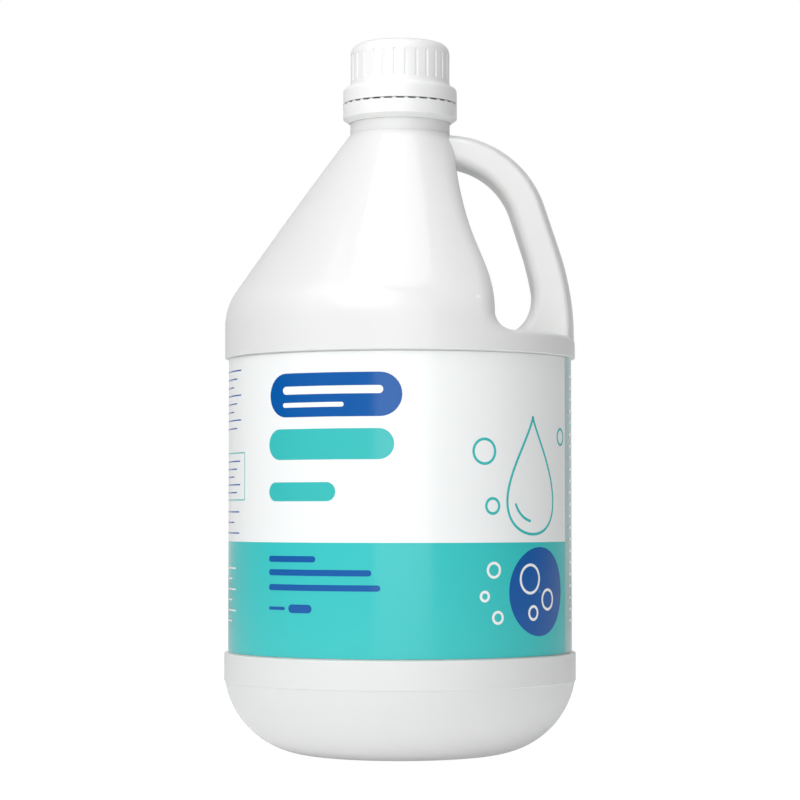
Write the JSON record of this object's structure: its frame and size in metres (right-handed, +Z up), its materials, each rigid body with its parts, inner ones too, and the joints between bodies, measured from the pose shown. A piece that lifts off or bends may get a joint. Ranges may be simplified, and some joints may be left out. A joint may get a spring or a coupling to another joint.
{
  "type": "bleach bottle",
  "caption": "Round white plastic jug for household bleach, with a hollow moulded-in grip, wrap-around label and ribbed screw cap.",
  "frame": {"origin": "on the jug's axis, in the plane of the ring it stands on", "axes": "+Z up along the jug's axis, +X towards the grip, -Y towards the middle of the label's front"},
  "size_m": [0.156, 0.156, 0.3162],
  "materials": {
    "jug_white": "blow-moulded opaque white polyethylene, satin",
    "cap_white": "injection-moulded white polypropylene, satin",
    "liner_foam": "white foamed polyethylene wad",
    "label_film": "printed white plastic film, semi-gloss"
  },
  "bodies": {
    "bottle": {"bottle_base": "jug_white", "bottle_side": "jug_white", "bottle_shoulder": "jug_white", "bottle_grip": "jug_white", "bottle_neck": "jug_white", "tamper_band": "cap_white", "label": "label_film"},
    "liner": {"cap_liner": "liner_foam"},
    "cap": {"cap": "cap_white"}
  },
  "joints": [
    {"name": "cap_rise", "type": "slide", "parent": "bottle", "child": "liner", "axis": [0, 0, 1], "range_m": [0, 0.0101]},
    {"name": "cap_turn", "type": "hinge", "parent": "liner", "child": "cap", "pos_m": [0, 0, 0.31], "axis": [0, 0, 1], "range_deg": [0, 720]}
  ],
  "couplings": [
    {"joint": "cap_rise", "follows": "cap_turn", "m_per_rad": 0.00079577}
  ]
}
